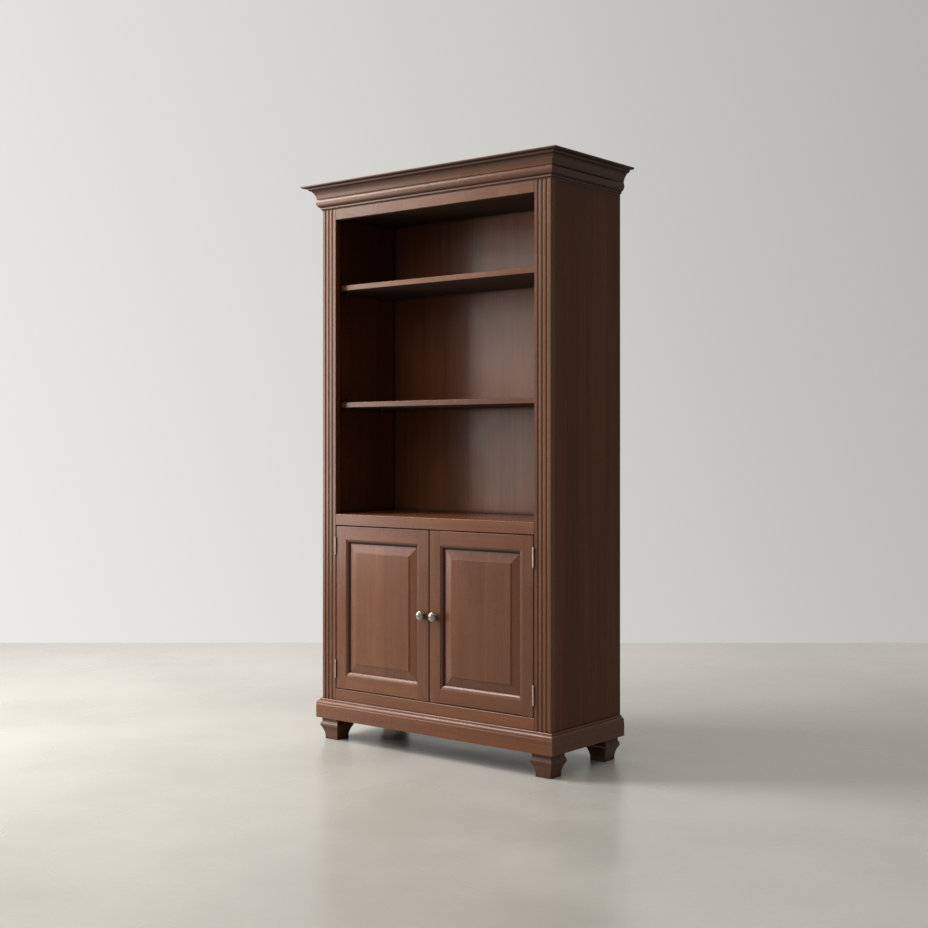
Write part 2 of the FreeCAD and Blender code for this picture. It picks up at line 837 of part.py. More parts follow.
def hinge_screws():
    """Flat-head screws, sunk level with the leaves that they hold."""
    head_height = s.hinge_screw_head_height
    piece = screw(
        "hinge_screw", "YZ", s.hinge_screw_shank, s.hinge_screw_length, s.hinge_screw_head, head_height
    )
    frame_spots = []
    for side, word in ((LEFT, "left"), (RIGHT, "right")):
        door_spots = []
        for low in hinge_lows.values():
            for z in hinge_screw_heights(low):
                frame_x = side * (x_stile + head_height)
                door_x = side * (hinge_edge - head_height)
                frame_spots.append((frame_x, hinge_screw_y, z, 0 if side == LEFT else 2))
                door_spots.append((door_x, hinge_screw_y, z, 2 if side == LEFT else 0))
        copies(f"{word}_door_hinge_screws", piece, door_spots)
    copies("frame_hinge_screws", piece, frame_spots)


def hinges():
    """Four butt hinges, each with a leaf on the frame and a leaf on the door."""
    for side, side_word in ((LEFT, "left"), (RIGHT, "right")):
        for word, low in hinge_lows.items():
            name = f"{side_word}_{word}_hinge"
            hinge_leaf(name + "_frame_leaf", side, low, x_stile, s.leaf_thickness, True)
            hinge_leaf(name + "_door_leaf", side, low, hinge_edge, -s.leaf_thickness, False)
    hinge_pins()
    hinge_screws()


def member_outline(spot, bend):
    """Section of a door member: spot(across, back) gives a sketch point, bend turns its moulded edge."""
    ease = s.edge_ease
    groove_back = s.groove_front + s.groove_width
    return [
        spot(0, s.door_thickness), spot(0, ease), spot(ease, 0), spot(s.door_flat, 0),
        spot(s.door_flat, s.sticking_quirk), (*spot(member, s.sticking_drop), bend * s.sticking_radius),
        spot(member, s.groove_front), spot(groove_foot, s.groove_front), spot(groove_foot, groove_back),
        spot(member, groove_back), spot(member, s.door_thickness),
    ]


def door_stile(label, across, bend):
    """Upright of a door: moulded edge mitred at both ends where the rails meet it."""
    body = new_body(label)
    profile = member_outline(lambda v, back: (across(v), y_front + back), bend)
    add_prism(body, "XY", door_low, door_high - door_low, profile)
    flat = s.door_flat
    for end, way in ((door_low, 1), (door_high, -1)):
        mitre = [
            (across(flat), end), (across(member), end), (across(member), end + way * member),
            (across(flat), end + way * flat),
        ]
        cut_prism(body, "XZ", y_front, s.door_thickness, mitre)
    return body


def door_rail(label, across, end, way):
    """Cross piece of a door: moulded edge mitred at both ends, stub tenons in the stiles' grooves."""
    body = new_body(label)
    flat = s.door_flat
    left = min(across(flat), across(door_width - flat), key=lambda size: size.value)
    profile = member_outline(lambda v, back: (y_front + back, end + way * v), -way)
    add_prism(body, "YZ", left, door_width - 2 * flat, profile)
    for near, inward in ((flat, 1), (door_width - flat, -1)):
        far = near + inward * s.sticking_width
        mitre = [
            (across(near), end + way * flat), (across(near), end + way * member),
            (across(far), end + way * member),
        ]
        cut_prism(body, "XZ", y_front, s.door_thickness, mitre)
    tongue = rect(across(groove_foot), across(door_width - groove_foot), end, end + way * groove_foot)
    add_prism(body, "XZ", y_front + s.groove_front, s.groove_width, tongue)
    keep(body, label)


def door_panel(label, across):
    """Raised panel: a tongue in the grooves, a wide bevel all round and a raised field."""
    body = new_body(label)

    def frame_sides(inset):
        ends = sorted((across(inset), across(door_width - inset)), key=lambda size: size.value)
        return (*ends, door_low + inset, door_high - inset)

    tongue_front = y_front + s.groove_front
    tongue = frame_sides(groove_foot + s.panel_play)
    add_prism(body, "XZ", tongue_front, s.groove_width, rect(*tongue))
    bevel_foot = member + s.panel_shadow
    field = frame_sides(bevel_foot + s.bevel_width)
    field_front = y_front + s.field_drop
    shoulder = field_front + s.field_step
    bevel = body.newObject("PartDesign::AdditiveWedge", label + "_bevel")
    bind(bevel, "Ymin", shoulder)
    bind(bevel, "Ymax", tongue_front)
    for path, size in zip(("Xmin", "Xmax", "Zmin", "Zmax"), field):
        bind(bevel, path, size)
    for path, size in zip(("X2min", "X2max", "Z2min", "Z2max"), frame_sides(bevel_foot)):
        bind(bevel, path, size)
    body.Tip = bevel
    add_prism(body, "XZ", field_front, s.field_step, rect(*field))
    keep(body, label)


def quarter_round(start, end, outward_first):
    """Points (radius, y) past start on the quarter ellipse to end, which sets off outwards or along Y."""
    points = []
    for band_number in range(1, KNOB_BANDS + 1):
        angle = math.pi / 2 * band_number / KNOB_BANDS
        quick, slow = math.sin(angle), 1 - math.cos(angle)
        out, along = (quick, slow) if outward_first else (slow, quick)
        points.append((start[0] + (end[0] - start[0]) * out, start[1] + (end[1] - start[1]) * along))
    return points


def turned_flats(profile, sides):
    """Solid round Y through the profile's (radius, y) points, in flat faces."""
    angles = [2 * math.pi * number / sides for number in range(sides)] + [0]
    rings = []
    for radius, y in profile:
        ring = [FreeCAD.Vector(radius * math.cos(angle), y, radius * math.sin(angle)) for angle in angles]
        rings.append(ring)
    loops = [rings[0], rings[-1]]
    for near, far in zip(rings, rings[1:]):
        for index in range(sides):
            loops.append([near[index], near[index + 1], far[index + 1], far[index], near[index]])
    shell = Part.makeShell([Part.Face(Part.makePolygon(loop)) for loop in loops])
    shell.sewShape()
    return Part.makeSolid(shell)


def knob(label):
    """Turned knob along Y, seat at 0 and head towards -Y, bored from the seat for its screw."""
    diameters = (s.knob_base_diameter, s.knob_neck_diameter, s.knob_diameter, s.knob_face_diameter)
    base, neck, head, face = (diameter.value / 2 for diameter in diameters)
    front = -s.knob_reach.value
    back = front + s.knob_head_height.value
    edge_front = front + s.knob_crown_height.value
    edge_back = edge_front + s.knob_edge_height.value
    profile = [
        (base, 0), (base, -s.knob_base_height.value), (neck, -s.knob_neck_height.value), (neck, back),
        *quarter_round((neck, back), (head, edge_back), True), (head, edge_front),
        *quarter_round((head, edge_front), (face, front), False),
    ]
    across = s.knob_screw_diameter + 2 * s.knob_screw_play
    hole = [FreeCAD.Vector(x.value, 0, z.value) for x, z in small_round(0, 0, across)]
    depth = FreeCAD.Vector(0, -s.knob_bore_depth.value, 0)
    bore = Part.Face(Part.makePolygon(hole + hole[:1])).extrude(depth)
    feature = doc.addObject("Part::Feature", label)
    feature.Shape = turned_flats(profile, KNOB_SIDES).cut(bore)
    return feature


def door(side, word):
    """One door with its panel, knob, knob screw and strike plate."""
    name = word + "_door_"

    def across(inward):
        return side * (hinge_edge - inward)

    def from_meeting(inward):
        return side * (meeting_edge + inward)

    hinge_stile = door_stile(name + "hinge_stile", across, -side)
    mortises(hinge_stile, side, hinge_edge, -s.leaf_thickness)
    keep(hinge_stile, name + "hinge_stile")
    meeting_stile = door_stile(name + "meeting_stile", from_meeting, side)
    hole = s.knob_screw_diameter + 2 * s.knob_screw_play
    drill(meeting_stile, "XZ", y_front, s.door_thickness, hole, [(side * knob_x, knob_z)])
    keep(meeting_stile, name + "meeting_stile")
    door_rail(name + "top_rail", across, door_high, -1)
    door_rail(name + "bottom_rail", across, door_low, 1)
    door_panel(name + "panel", across)
    handle = knob(name + "knob")
    place(handle, side * knob_x, y_front, knob_z)
    keep(handle, name + "knob")
    knob_screw = screw(
        name + "knob_screw", "XZ", s.knob_screw_diameter, s.door_thickness + s.knob_bore_depth,
        s.knob_screw_head, s.knob_screw_head_height,
    )
    place(knob_screw, side * knob_x, door_back, knob_z)
    keep(knob_screw, name + "knob_screw")
    left = side * knob_x - s.strike_width / 2
    top = door_high - s.catch_edge
    strike = board(
        name + "strike", left, left + s.strike_width, door_back, door_back + s.strike_thickness,
        top - s.strike_height, top,
    )
    keep(strike, name + "strike")


def magnetic_catches():
    """Catch blocks under the fixed shelf, their magnet faces just behind the strike plates."""
    front = door_back + s.strike_thickness + s.catch_gap
    blocks = []
    for side in (LEFT, RIGHT):
        left = side * knob_x - s.catch_width / 2
        body = new_body("catch")
        edge = s.catch_edge
        low = door_high - s.catch_drop
        outline = [
            (front, low), (front + s.catch_depth - edge, low), (front + s.catch_depth, low + edge),
            (front + s.catch_depth, z_fixed_low), (y_frame, z_fixed_low), (y_frame, door_high),
            (front, door_high),
        ]
        add_prism(body, "YZ", left, s.catch_width, outline)
        blocks.append(body)
    gather("magnetic_catches", blocks)


def build():
    side_panel("left_side_panel", LEFT)
    side_panel("right_side_panel", RIGHT)
    housed_board("case_bottom", z_board)
    housed_board("fixed_shelf", z_fixed_low)
    housed_board("case_top", z_top_low)
    back_panel()
    back_screws()
    pilaster("left_pilaster", LEFT)
    pilaster("right_pilaster", RIGHT)
    frame_rail("bottom_rail", s.foot_height, z_floor)
    frame_rail("middle_rail", z_doors_top, z_fixed)
    frame_rail("top_rail", z_opening_top, z_cap)
    moulding("cornice", cornice_outline, z_cornice, s.cornice_height, s.ovolo_reach)
    cornice_cap()
    moulding("plinth", plinth_outline, s.foot_height, s.plinth_height, s.plinth_reach)
    rail_rear = y_back_in + s.rear_rail_thickness
    keep(board("rear_rail", -x_in, x_in, y_back_in, rail_rear, s.foot_height, z_board), "rear_rail")
    feet()
    shelf("upper_shelf", "upper", s.shelf_setback)
    shelf("lower_shelf", "lower", s.shelf_setback)
    shelf("cabinet_shelf", "cabinet", s.cabinet_shelf_setback)
    shelf_pins()
    hinges()
    door(LEFT, "left")
    door(RIGHT, "right")
    magnetic_catches()


def check():
    """Stops if any object failed or any sub-part has no sound solid."""
    for thing in doc.Objects:
        if "Invalid" in thing.State or "Error" in thing.State:
            raise RuntimeError(f"{thing.Name} ({thing.Label}) failed: {thing.State}")
    for thing in sub_parts:
        if thing.Shape.isNull() or not thing.Shape.isValid() or not thing.Shape.Solids:
            raise RuntimeError(f"{thing.Label} has no valid solid")


def write():
    os.makedirs("parts", exist_ok=True)
    for thing in sub_parts:
        thing.Shape.exportStep(os.path.join("parts", thing.Label + ".step"))
        print(f"{thing.Label}: {len(thing.Shape.Solids)} solids, {thing.Shape.Volume / 1000:.2f} cm3")


build()
doc.recompute()
check()
write()
print(len(sub_parts), "sub-parts")
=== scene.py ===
"""Looks of the bookcase: stained wood, metal fittings, a pale studio floor, light and camera.

Metres, +Z up, the front faces -Y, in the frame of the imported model.
"""
import math

import bmesh
import bpy
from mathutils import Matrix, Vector


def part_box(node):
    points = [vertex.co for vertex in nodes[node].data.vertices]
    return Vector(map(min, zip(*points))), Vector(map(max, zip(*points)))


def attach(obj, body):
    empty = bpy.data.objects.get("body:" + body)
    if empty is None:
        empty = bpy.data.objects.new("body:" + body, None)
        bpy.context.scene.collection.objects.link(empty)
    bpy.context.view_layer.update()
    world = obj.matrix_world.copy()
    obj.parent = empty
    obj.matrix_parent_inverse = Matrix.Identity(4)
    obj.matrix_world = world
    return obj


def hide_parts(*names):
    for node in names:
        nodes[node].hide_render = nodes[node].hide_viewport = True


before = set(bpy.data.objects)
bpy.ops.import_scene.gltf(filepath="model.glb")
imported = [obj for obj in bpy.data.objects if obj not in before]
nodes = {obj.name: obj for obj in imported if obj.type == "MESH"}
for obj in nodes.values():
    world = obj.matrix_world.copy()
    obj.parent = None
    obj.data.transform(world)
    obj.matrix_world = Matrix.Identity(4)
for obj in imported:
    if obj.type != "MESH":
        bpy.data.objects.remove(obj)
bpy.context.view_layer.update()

SIDEWAYS = (1, 0, 0)
REARWARD = (0, 1, 0)
FRONTWARD = (0, -1, 0)
UPWARD = (0, 0, 1)
DOWNWARD = (0, 0, -1)

# Camera, fitted to the photograph's edges
IMAGE_SIDE = 928
FOCAL_PIXELS = 1402.7
HORIZON_ROW = 445.56
SENSOR_WIDTH = 36.0
CAMERA_PLACE = (2.833, -3.485, 0.972)
CAMERA_TURN = math.radians(39.0)

# Floor: it lies square to the view, ends where the photograph's floor ends, and is painted paler towards
# the wall, painted light for a brighter floor there
FLOOR_BEHIND = 2.42
FLOOR_AHEAD = 9.0
FLOOR_HALF_WIDTH = 9.0
FLOOR_DARK = (0.49, 0.469, 0.428, 1)
FLOOR_LIGHT = (0.56, 0.538, 0.492, 1)
FLOOR_SPECK = (0.45, 0.430, 0.391, 1)
FLOOR_FAR_PAINTED_LIGHT = (1.28, 1.28, 1.31, 1)
FLOOR_PAINTED_LIGHT_REACH = (0.7, 2.2)
FLOOR_ROUGH = (0.22, 0.34)
FLOOR_CLOUD_SCALE = 1.6
FLOOR_SPECK_SCALE = 55.0
FLOOR_BOUNCE = 0.35

# Backdrop: its bright side, the end of the room where it dims, and how bright it is
BACKDROP = (1.0, 0.990, 0.945, 1)
BACKDROP_SIDE = (-0.73, -0.59, -0.30)
BACKDROP_SPAN = (-0.7, 0.9)
BACKDROP_DIM = 0.28
BACKDROP_BRIGHT = 1.14
ROOM_END = (0.45, -0.89, 0)
ROOM_END_SPAN = (0.15, 0.9)
BACKDROP_ROOM_END = 0.50

# Soft room light: from the window side and from overhead
LIGHT_COLOUR = (1.0, 0.985, 0.955)
LIGHT_SIDE = (-0.74, -0.60, 0.30)
LIGHT_SIDE_SPAN = (-0.35, 0.95)
ROOM_BRIGHT = 0.46
ROOM_DIM = 0.018
OVERHEAD_SPAN = (0.25, 1.0)
ROOM_OVERHEAD = 0.60

# Lamps: place, aim, width and height, and radiance
WINDOW = ((-2.58, -1.80, 1.22), (0.0, 0.0, 0.80), (1.25, 1.7), 5.9)
SKYLIGHT = ((-2.00, -1.40, 2.90), (0.0, -0.1, 0.7), (1.25, 1.75), 13.6)
FRONT = ((-0.55, -3.00, 2.60), (0.0, 0.0, 0.9), (1.2, 1.2), 1.9)

# Which way the grain runs; wood that isn't listed here has upright grain
ACROSS = [
    "case_bottom", "fixed_shelf", "case_top", "bottom_rail", "middle_rail", "top_rail", "cornice_front",
    "cornice_cap", "plinth_front", "upper_shelf", "lower_shelf", "cabinet_shelf",
]
FRONT_TO_BACK = ["cornice_left", "cornice_right", "plinth_left", "plinth_right"]
PLAIN_WOOD = ["corner_blocks", "rear_rail"]

# Boards made paler or darker than the rest: partly their own tone, partly painted light and shade for how
# brightly each board is lit
BOARD_TONES_AND_PAINTED_LIGHT = {
    "left_door_panel": 1.12, "left_door_bottom_rail": 1.14, "left_door_hinge_stile": 1.08,
    "right_door_top_rail": 1.04, "right_door_panel": 0.90, "middle_rail": 1.20, "bottom_rail": 1.10,
    "right_pilaster": 0.92, "plinth_front": 1.26, "foot_front_right": 0.82, "foot_rear_right": 0.80,
    "upper_shelf": 0.90, "lower_shelf": 0.90, "back_panel": 1.15, "left_side_panel": 0.90,
}

# Stain, from the dark glaze and painted shade of the grooves to the palest streaks
GLAZE_AND_PAINTED_SHADE = (0.020, 0.0048, 0.0018, 1)
STAIN_DARK = (0.050, 0.0145, 0.0065, 1)
STAIN_DEEP = (0.142, 0.0465, 0.0165, 1)
STAIN_MID = (0.188, 0.0655, 0.0240, 1)
STAIN_PALE = (0.258, 0.0980, 0.0390, 1)

# Figure of the stained wood: scales across and along the grain, and how much each pattern colours the wood
STAVE_WIDTH = 0.068
CLOUD_SCALES = (13, 1.0)
STREAK_SCALES = (75, 1.7)
LINE_SCALES = (1.0, 0.09)
LINE_SCALE = 26.0
FIBRE_SCALES = (620, 14)
PORE_SCALES = (950, 42)
STREAK_SHARE = 0.45
LINE_SHARE = 0.13
FIBRE_SHARE = 0.10
PORE_SHARE = 0.22
PORE_SPAN = (0.60, 0.72)
PIECE_TONES = (0.96, 1.04)
STAVE_TONES = (0.93, 1.07)

# Shifts that give each piece and each stave its own stretch of the figure
PIECE_SHIFT = (7.3, 4.1, 9.7)
STAVE_SHIFT = (3.1, 5.7, 2.3)

# Painted shade, partly glaze: in the grooves and gaps, on the doors' mouldings and on undersides, less on
# upward mouldings
GROOVE_REACH = 0.018
GROOVE_SPAN = (0.42, 0.94)
GROOVE_GLAZE_AND_PAINTED_SHADE = 0.88
UPWARD_LIT_SHADE_SHARE = 0.40
MOULDING_PAINTED_SHADE = 0.70
MOULDING_DEPTH = (0.0005, 0.0030)
UNDERSIDE_PAINTED_SHADE = 0.94

# Lacquer: roughness and specular level of the front, the side panels and the back, and what dulls it
SHEEN, GLOSS = 0.26, 0.40
SIDE_SHEEN, SIDE_GLOSS = 0.30, 0.15
BACK_SHEEN, BACK_GLOSS = 0.32, 0.56
HAZE_SCALE = 9.0
HAZE_LESS, HAZE_MORE = 0.03, 0.04
GLAZE_AND_SHADE_DULLS = 0.60
UNDERSIDE_DULLS = 0.50
WEAR_DULLS = 0.20
PORES_DULL = 0.08
BARE_DULLS = 0.42

# Rubbed edges and rounding
WEAR_RADIUS = 0.0018
WEAR_SHARE = 0.50
SCUFF_SCALE = 55.0
WOOD_ROUNDING = 0.0010
METAL_ROUNDING = 0.0004

# Bare wood
BARE_DARK = (0.31, 0.185, 0.100, 1)
BARE_PALE = (0.45, 0.295, 0.170, 1)
BARE_PORE = (0.12, 0.065, 0.032, 1)
BARE_STREAK_SCALES = (60, 2.0)
BARE_PORE_SCALES = (800, 30)
FUZZ_SCALES = (300, 12)
BARE_ROUGH = (0.62, 0.78)

# Metals: colour, tarnish and roughness
NICKEL = ((0.27, 0.247, 0.22, 1), (0.04, 0.033, 0.027, 1), 0.12)
HINGE_METAL = ((0.64, 0.54, 0.44, 1), (0.20, 0.14, 0.10, 1), 0.30)
ZINC = ((0.56, 0.56, 0.56, 1), (0.15, 0.15, 0.16, 1), 0.34)
BRUSH_SCALES = (2600, 180)
SMUDGE_SCALE = 160.0
SMUDGE_SHARE = 0.35
TARNISH_REACH = 0.006
TARNISH_SHARE = 0.65
BRUSH_ROUGH = 0.06

# Plastic of the catches
PLASTIC_DARK = (0.030, 0.018, 0.012, 1)
PLASTIC_PALE = (0.045, 0.028, 0.019, 1)
PLASTIC_ROUGH = (0.42, 0.52)

# Knob: radii as shares of the head's, distances from the door as shares of the reach
LATHE_SIDES = 48
KNOB_FLANGE = 0.51
KNOB_FLANGE_EDGE = 0.07
KNOB_LIP = 0.459
KNOB_LIP_AT = 0.11
KNOB_NECK = 0.31
KNOB_WAIST_AT = 0.30
KNOB_THROAT_AT = 0.52
KNOB_RIM_AT = 0.79

# Screws: shares of the head's radius, or of its height for the depth, and the two kinds of head
SCREW_SIDES = 16
SCREW_SHANK = 0.43
SCREW_TIP = 0.12
RECESS_ARM = 0.52
RECESS_HALF_WIDTH = 0.13
RECESS_TAPER = 0.72
RECESS_DEPTH = 0.55
PAN_HEIGHT, PAN_TOP = 0.0024, 0.66
FLAT_HEIGHT, FLAT_TOP = 0.0007, 0.93
SHARP_ANGLE = math.radians(40)
WELD = 1e-6


class Tree:
    """Short calls for one node tree."""

    def __init__(self, tree):
        self.tree = tree
        tree.nodes.clear()

    def add(self, kind, inputs=None, **settings):
        node = self.tree.nodes.new(kind)
        for name, value in settings.items():
            setattr(node, name, value)
        for name, value in (inputs or {}).items():
            self.feed(node.inputs[name], value)
        return node

    def feed(self, socket, value):
        if isinstance(value, bpy.types.NodeSocket):
            self.tree.links.new(value, socket)
        else:
            socket.default_value = value

    def noise(self, vector, scale, detail=3.0, roughness=0.5, distortion=0.0):
        inputs = {
            "Vector": vector, "Scale": scale, "Detail": detail, "Roughness": roughness,
            "Distortion": distortion,
        }
        return self.add("ShaderNodeTexNoise", inputs).outputs["Fac"]

    def span(self, value, low, high, to_low=0.0, to_high=1.0):
        """Maps low..high onto to_low..to_high, with a smooth start and end."""
        inputs = {"Value": value, "From Min": low, "From Max": high, "To Min": to_low, "To Max": to_high}
        return self.add("ShaderNodeMapRange", inputs, interpolation_type="SMOOTHSTEP").outputs["Result"]

    def math(self, operation, one, other=0.0):
        return self.add("ShaderNodeMath", {0: one, 1: other}, operation=operation).outputs["Value"]

    def times(self, one, other):
        return self.math("MULTIPLY", one, other)

    def plus(self, one, other):
        return self.math("ADD", one, other)

    def mix(self, factor, one, other, blend="MIX"):
        node = self.add("ShaderNodeMix", data_type="RGBA", blend_type=blend)
        for socket, value in zip((node.inputs[0], node.inputs[6], node.inputs[7]), (factor, one, other)):
            self.feed(socket, value)
        return node.outputs[2]

    def vector(self, operation, inputs):
        return self.add("ShaderNodeVectorMath", inputs, operation=operation).outputs

    def stretched(self, vector, scale):
        return self.vector("MULTIPLY", {0: vector, 1: scale})["Vector"]

    def dot(self, one, other):
        return self.vector("DOT_PRODUCT", {0: one, 1: other})["Value"]

    def shifted(self, vector, way, amount):
        """The vector moved along a fixed way by an amount."""
        shift = self.vector("SCALE", {0: way, "Scale": amount})["Vector"]
        return self.vector("ADD", {0: vector, 1: shift})["Vector"]

    def bump(self, strength, distance, height, normal=None):
        inputs = {"Strength": strength, "Distance": distance, "Height": height}
        if normal is not None:
            inputs["Normal"] = normal
        return self.add("ShaderNodeBump", inputs).outputs["Normal"]

    def rounded(self, radius):
        """Normals that round off sharp edges."""
        return self.add("ShaderNodeBevel", {"Radius": radius}, samples=4).outputs["Normal"]


def new_material(name):
    material = bpy.data.materials.new(name)
    material.use_nodes = True
    return material, Tree(material.node_tree)


def finish_material(n, inputs):
    shader = n.add("ShaderNodeBsdfPrincipled", inputs)
    n.add("ShaderNodeOutputMaterial", {"Surface": shader.outputs["BSDF"]})


def piece_chance(n):
    """A number from 0 to 1 that differs from piece to piece."""
    return n.add("ShaderNodeObjectInfo").outputs["Random"]


def piece_coordinates(n):
    """The piece's own coordinates, shifted by an amount that differs from piece to piece."""
    own = n.add("ShaderNodeTexCoord").outputs["Object"]
    return n.shifted(own, PIECE_SHIFT, piece_chance(n))


def along_grain(grain, across, along):
    """Scales of a pattern that is stretched along the grain."""
    return tuple(along if axis == grain else across for axis in "XYZ")


def grain_noise(n, place, grain, scales, *settings):
    """Noise that is stretched along the grain."""
    return n.noise(n.stretched(place, along_grain(grain, *scales)), 1.0, *settings)


def edge_mask(n, radius):
    """1 along sharp edges, 0 on flats."""
    flat = n.add("ShaderNodeNewGeometry").outputs["Normal"]
    return n.span(n.dot(n.rounded(radius), flat), 0.985, 0.80)


def open_mask(n, reach):
    """1 on open surfaces, less in corners and grooves."""
    return n.add("ShaderNodeAmbientOcclusion", {"Distance": reach}, samples=6).outputs["AO"]


def facing(n, way):
    """1 on surfaces that face the given way."""
    normal = n.add("ShaderNodeNewGeometry").outputs["Normal"]
    return n.span(n.dot(normal, way), 0.30, 0.90)


def moulded(n, face):
    """1 on a door's mouldings behind its face, which get painted shade; not on the upward ones, which are
    lit from above.
    """
    spot = n.add("ShaderNodeTexCoord").outputs
    depth = n.math("SUBTRACT", n.dot(spot["Object"], REARWARD), face)
    frontward = n.span(n.dot(spot["Normal"], FRONTWARD), 0.20, 0.40)
    sheltered = n.span(n.dot(spot["Normal"], UPWARD), 0.25, 0.05)
    return n.times(n.span(depth, *MOULDING_DEPTH), n.times(frontward, sheltered))


def upward_lit(n):
    """1 on mouldings that face upwards and outwards, which catch light from above and get less painted
    shade.
    """
    up = n.dot(n.add("ShaderNodeTexCoord").outputs["Normal"], UPWARD)
    return n.times(n.span(up, 0.20, 0.45), n.span(up, 0.97, 0.85))


def staved(n, place, grain):
    """Coordinates that jump from one glued-up stave to the next, and a chance for each stave."""
    across = n.dot(place, along_grain(grain, 1, 0))
    stave = n.math("FLOOR", n.math("DIVIDE", across, STAVE_WIDTH))
    chance = n.add("ShaderNodeTexWhiteNoise", {"W": stave}, noise_dimensions="1D").outputs["Value"]
    return n.shifted(place, STAVE_SHIFT, chance), chance


def ring_lines(n, place, grain):
    """Year rings, drawn out along the grain."""
    inputs = {
        "Vector": n.stretched(place, along_grain(grain, *LINE_SCALES)), "Scale": LINE_SCALE,
        "Distortion": 5.0, "Detail": 3.0, "Detail Scale": 1.4, "Detail Roughness": 0.55,
    }
    settings = {"wave_type": "RINGS", "rings_direction": grain, "wave_profile": "SAW"}
    return n.add("ShaderNodeTexWave", inputs, **settings).outputs["Fac"]


def stained_wood(name, grain, sheen=SHEEN, gloss=GLOSS, bare_rear=False, face=None):
    """Red-brown stained wood under satin lacquer: staves, streaks, pores and worn edges, with painted
    shade, partly glaze, in grooves, on door mouldings and undersides, and board tones that are partly
    painted light.
    """
    material, n = new_material(name)
    place = piece_coordinates(n)
    figure, stave_chance = staved(n, place, grain)
    clouds = grain_noise(n, figure, grain, CLOUD_SCALES, 2.0, 0.5, 0.4)
    streaks = grain_noise(n, figure, grain, STREAK_SCALES, 4.0, 0.55, 0.5)
    lines = ring_lines(n, figure, grain)
    fibres = grain_noise(n, place, grain, FIBRE_SCALES, 2.0, 0.6)
    pores = n.span(grain_noise(n, place, grain, PORE_SCALES, 1.0, 0.5), *PORE_SPAN)

    colour = n.mix(n.span(clouds, 0.30, 0.70), STAIN_DEEP, STAIN_MID)
    colour = n.mix(n.span(streaks, 0.46, 0.80, 0.0, STREAK_SHARE), colour, STAIN_PALE)
    colour = n.mix(n.span(lines, 0.55, 1.0, 0.0, LINE_SHARE), colour, STAIN_DARK)
    colour = n.mix(n.span(fibres, 0.35, 0.70, FIBRE_SHARE, 0.0), colour, STAIN_DARK)
    colour = n.mix(n.times(pores, PORE_SHARE), colour, STAIN_DARK)
    piece_tone = n.span(piece_chance(n), 0.0, 1.0, *PIECE_TONES)
    tone = n.times(piece_tone, n.span(stave_chance, 0.0, 1.0, *STAVE_TONES))
    colour = n.add("ShaderNodeHueSaturation", {"Color": colour, "Value": tone}).outputs["Color"]
    # Board tones: partly their own, partly painted light and shade.
    colour = n.mix(1.0, colour, n.add("ShaderNodeObjectInfo").outputs["Color"], "MULTIPLY")

    # Painted shade, partly glaze: grooves, corners and gaps between parts are darkened where the occlusion
    # is deepest.
    open_part = open_mask(n, GROOVE_REACH)
    glaze_and_shade = n.span(open_part, *GROOVE_SPAN, GROOVE_GLAZE_AND_PAINTED_SHADE, 0.0)
    # Less painted shade on upward mouldings, so they read as lit from above.
    glaze_and_shade = n.times(glaze_and_shade, n.span(upward_lit(n), 0.0, 1.0, 1.0, UPWARD_LIT_SHADE_SHARE))
    # Painted shade on the door mouldings, except the upward ones.
    if face is not None:
        glaze_and_shade = n.math("MAXIMUM", glaze_and_shade, n.times(moulded(n, face), MOULDING_PAINTED_SHADE))
    colour = n.mix(glaze_and_shade, colour, GLAZE_AND_PAINTED_SHADE)
    scuffs = n.noise(place, SCUFF_SCALE, 3.0, 0.6)
    rubbed = n.times(edge_mask(n, WEAR_RADIUS), n.span(scuffs, 0.36, 0.60, 0.25, 1.0))
    wear = n.times(n.times(rubbed, open_part), WEAR_SHARE)
    colour = n.mix(wear, colour, STAIN_PALE)
    # Painted shade: undersides are darkened towards the glaze colour.
    underside = facing(n, DOWNWARD)
    colour = n.mix(n.times(underside, UNDERSIDE_PAINTED_SHADE), colour, GLAZE_AND_PAINTED_SHADE)

    haze = n.noise(place, HAZE_SCALE, 3.0, 0.6)
    rough = n.span(haze, 0.3, 0.7, sheen - HAZE_LESS, sheen + HAZE_MORE)
    rough = n.plus(rough, n.times(wear, WEAR_DULLS))
    rough = n.plus(rough, n.times(pores, PORES_DULL))
    dull = n.math("MAXIMUM", n.times(glaze_and_shade, GLAZE_AND_SHADE_DULLS), n.times(underside, UNDERSIDE_DULLS))
    rough = n.plus(rough, dull)
    if bare_rear:
        rear = facing(n, REARWARD)
        colour = n.mix(rear, colour, bare_colour(n, place, grain))
        rough = n.plus(rough, n.times(rear, BARE_DULLS))
    relief = n.math("SUBTRACT", n.times(fibres, 0.35), pores)
    bump = n.bump(0.08, 0.0003, relief, n.rounded(WOOD_ROUNDING))
    finish_material(n, {
        "Base Color": colour, "Roughness": rough, "Normal": bump, "Specular IOR Level": gloss,
    })
    return material


def bare_colour(n, place, grain):
    """Colour of unfinished wood, with streaks and pores."""
    streaks = grain_noise(n, place, grain, BARE_STREAK_SCALES, 4.0, 0.6, 0.5)
    pores = n.span(grain_noise(n, place, grain, BARE_PORE_SCALES, 1.0), *PORE_SPAN)
    colour = n.mix(n.span(streaks, 0.25, 0.75), BARE_DARK, BARE_PALE)
    return n.mix(n.times(pores, 0.5), colour, BARE_PORE)


def plain_wood(name, grain):
    """Bare pale brown wood of the pieces under the case."""
    material, n = new_material(name)
    place = piece_coordinates(n)
    fuzz = grain_noise(n, place, grain, FUZZ_SCALES, 3.0, 0.6)
    rough = n.span(fuzz, 0.2, 0.8, *BARE_ROUGH)
    colour = bare_colour(n, place, grain)
    finish_material(n, {"Base Color": colour, "Roughness": rough, "Normal": n.bump(0.25, 0.0004, fuzz)})
    return material


